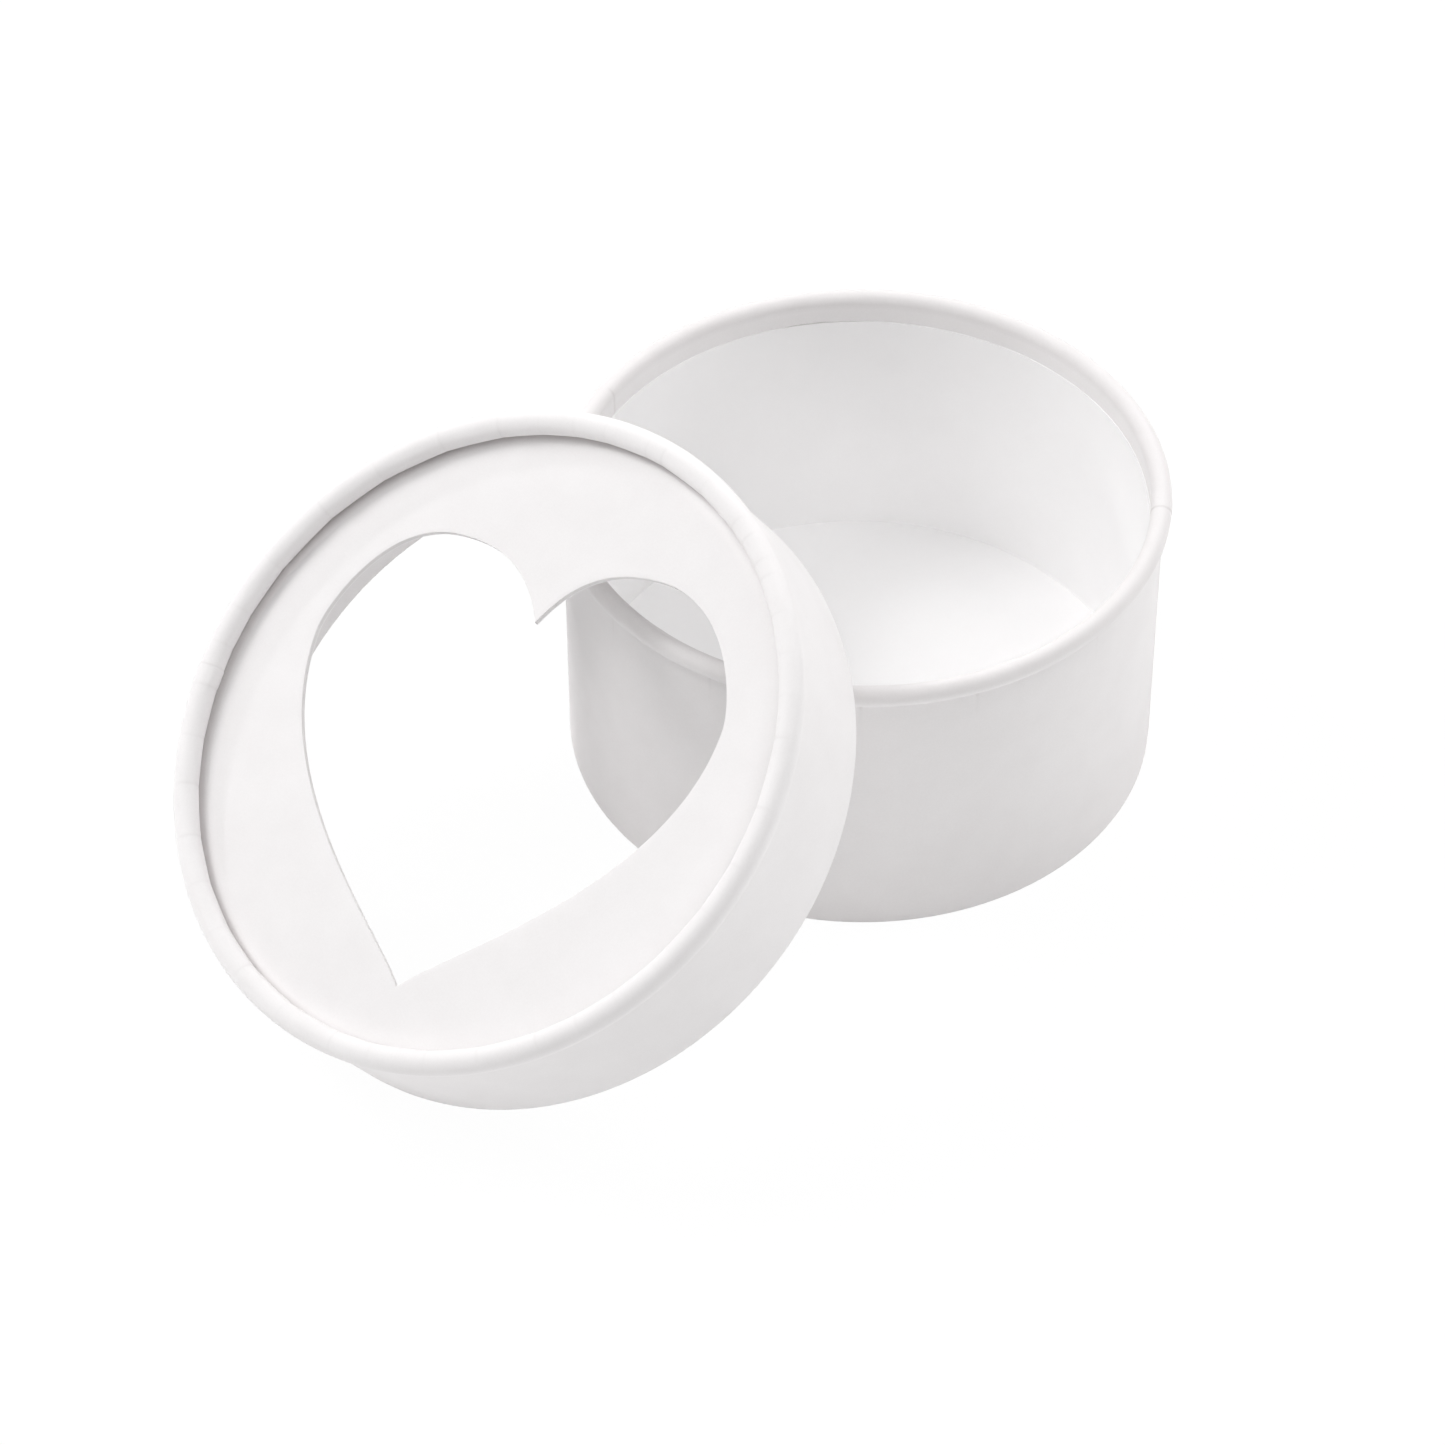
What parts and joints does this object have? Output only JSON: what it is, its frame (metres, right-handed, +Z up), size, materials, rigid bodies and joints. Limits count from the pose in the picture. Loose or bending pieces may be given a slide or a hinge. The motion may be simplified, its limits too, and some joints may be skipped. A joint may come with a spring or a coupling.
{
  "type": "round gift box with window lid",
  "caption": "Round white paperboard box with rolled rims; its slip-over lid has a heart-shaped window and leans on the open base.",
  "frame": {"origin": "centre of the base's underside, on the surface the box stands on", "axes": "+Z up along the base's axis; the lid leans away from the base towards -Y; +X to the right of someone who looks along +Y"},
  "size_m": [0.1232, 0.2, 0.0903],
  "materials": {
    "wrap_paper": "smooth matt white paper, glued on",
    "lining_paper": "smooth matt white lining paper",
    "greyboard": "bare grey chipboard with a faint fibre grain"
  },
  "bodies": {
    "base": {"base_wall_tube": "greyboard", "base_rim_roll": "greyboard", "base_bottom_board": "greyboard", "base_outer_wrap": "wrap_paper", "base_wall_lining": "lining_paper", "base_floor_paper": "lining_paper", "base_underside_paper": "wrap_paper"},
    "lid": {"lid_wall_tube": "greyboard", "lid_rim_roll": "greyboard", "lid_top_board": "greyboard", "lid_outer_wrap": "wrap_paper", "lid_wall_lining": "lining_paper", "lid_top_paper": "wrap_paper", "lid_underside_paper": "lining_paper"}
  },
  "joints": [
    {"name": "lid_lift", "type": "slide", "parent": "base", "child": "lid", "axis": [0, 0, 1], "range_m": [0, 0.06]}
  ]
}
